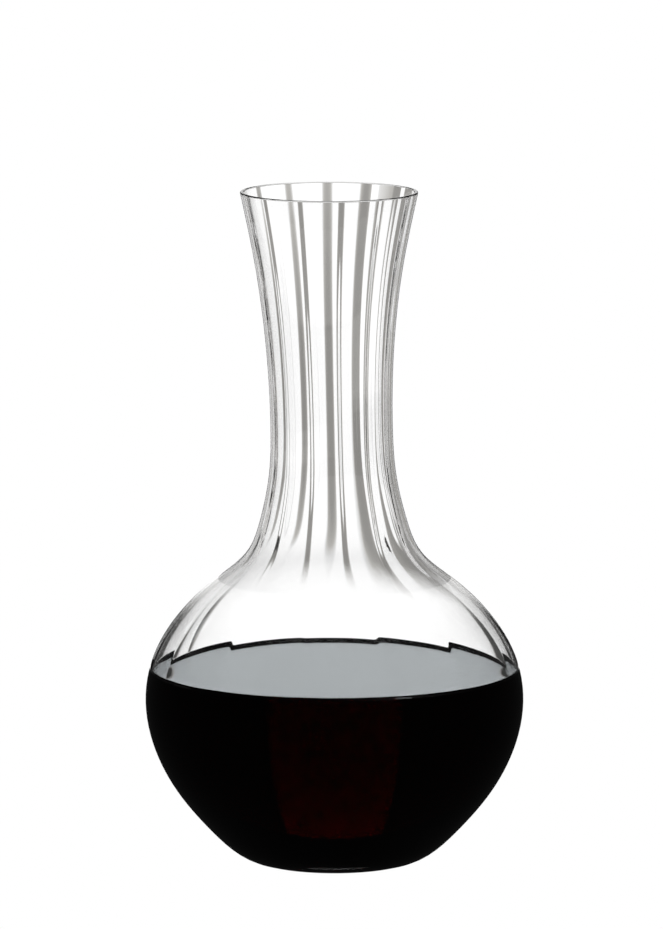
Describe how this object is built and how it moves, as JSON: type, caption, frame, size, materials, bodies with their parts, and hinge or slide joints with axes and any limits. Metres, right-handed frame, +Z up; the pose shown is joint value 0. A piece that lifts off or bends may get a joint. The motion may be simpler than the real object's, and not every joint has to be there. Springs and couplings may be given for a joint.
{
  "type": "wine decanter",
  "caption": "Clear glass wine decanter: round bulb, long flared neck, low ribs inside, holding a bottle of red wine.",
  "frame": {"origin": "centre of the foot's contact ring, on the surface that the decanter stands on", "axes": "+Z up along the body's axis through the mouth; -Y is the side that is looked at"},
  "size_m": [0.1402, 0.1402, 0.25],
  "materials": {
    "clear_glass": "clear, fire-polished",
    "red_wine": "still liquid, deep red to black"
  },
  "bodies": {
    "root": {"glass_vessel": "clear_glass", "wine": "red_wine"}
  },
  "joints": []
}
